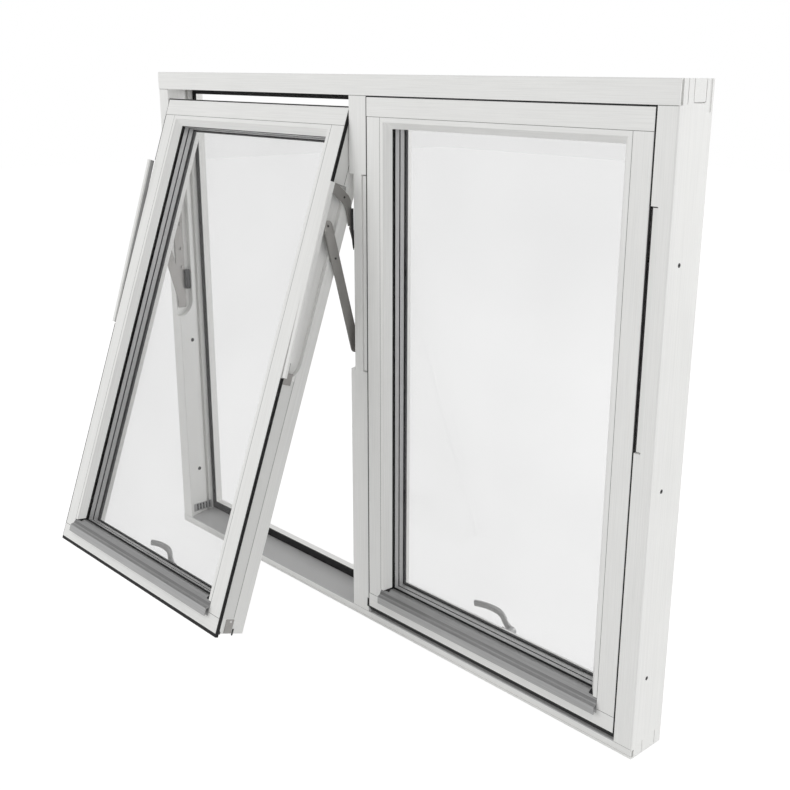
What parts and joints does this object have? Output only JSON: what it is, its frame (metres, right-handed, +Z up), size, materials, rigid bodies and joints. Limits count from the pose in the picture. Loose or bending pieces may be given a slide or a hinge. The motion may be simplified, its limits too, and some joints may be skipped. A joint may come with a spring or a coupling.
{
  "type": "double casement window",
  "caption": "White timber window frame with two lights side by side, one sash tilted open at its foot and one closed, triple glazed.",
  "frame": {"origin": "underside of the sill, midway across the frame's width and through its depth", "axes": "+X to the right as seen from outdoors, +Y indoors, +Z up"},
  "size_m": [1.89, 0.5997, 1.49],
  "materials": {
    "anodised_bead": "natural anodised aluminium",
    "black_rubber": "black rubber seal",
    "clear_glass": "clear float glass",
    "grey_plastic": "grey moulded plastic",
    "handle_metal": "satin lacquered metal",
    "hinge_steel": "passivated steel",
    "painted_metal": "white powder coat",
    "painted_timber": "white paint over planed softwood",
    "sill_cover": "matt grey aluminium",
    "spacer_bar": "grey plastic spacer bar"
  },
  "bodies": {
    "window": {"head": "painted_timber", "left_bottom_rail": "painted_timber", "left_corner_blocks": "grey_plastic", "left_edge_seal": "black_rubber", "left_foot_bead": "anodised_bead", "left_glazing_seals": "black_rubber", "left_handle_rose": "handle_metal", "left_inner_pane": "clear_glass", "left_jamb": "painted_timber", "left_left_arm": "hinge_steel", "left_left_bead": "painted_timber", "left_left_frame_plate": "hinge_steel", "left_left_stay": "hinge_steel", "left_left_stile": "painted_timber", "left_left_strip": "painted_metal", "left_lock_keeps": "hinge_steel", "left_middle_pane": "clear_glass", "left_outer_pane": "clear_glass", "left_right_arm": "hinge_steel", "left_right_bead": "painted_timber", "left_right_frame_plate": "hinge_steel", "left_right_stay": "hinge_steel", "left_right_stile": "painted_timber", "left_right_strip": "painted_metal", "left_sill_cover": "sill_cover", "left_spacers": "spacer_bar", "left_stop_seal": "black_rubber", "left_strip_brackets": "hinge_steel", "left_top_bead": "painted_timber", "left_top_rail": "painted_timber", "mullion": "painted_timber", "right_bottom_rail": "painted_timber", "right_corner_blocks": "grey_plastic", "right_edge_seal": "black_rubber", "right_foot_bead": "anodised_bead", "right_glazing_seals": "black_rubber", "right_handle_rose": "handle_metal", "right_inner_pane": "clear_glass", "right_jamb": "painted_timber", "right_left_bead": "painted_timber", "right_left_stay": "hinge_steel", "right_left_stile": "painted_timber", "right_left_strip": "painted_metal", "right_lock_keeps": "hinge_steel", "right_middle_pane": "clear_glass", "right_outer_pane": "clear_glass", "right_right_bead": "painted_timber", "right_right_stay": "hinge_steel", "right_right_stile": "painted_timber", "right_right_strip": "painted_metal", "right_sill_cover": "sill_cover", "right_spacers": "spacer_bar", "right_stop_seal": "black_rubber", "right_strip_brackets": "hinge_steel", "right_top_bead": "painted_timber", "right_top_rail": "painted_timber", "sill": "painted_timber"},
    "left_handle": {"left_handle_lever": "handle_metal"},
    "right_handle": {"right_handle_lever": "handle_metal"}
  },
  "joints": [
    {"name": "left_handle_turn", "type": "hinge", "parent": "window", "child": "left_handle", "pos_m": [-0.464, -0.41689, 0.10757], "axis": [0, 0.9415, -0.3371], "range_deg": [0, 90]},
    {"name": "right_handle_turn", "type": "hinge", "parent": "window", "child": "right_handle", "pos_m": [0.464, 0.0385, 0.088], "axis": [0, 1, 0], "range_deg": [0, 90]}
  ]
}
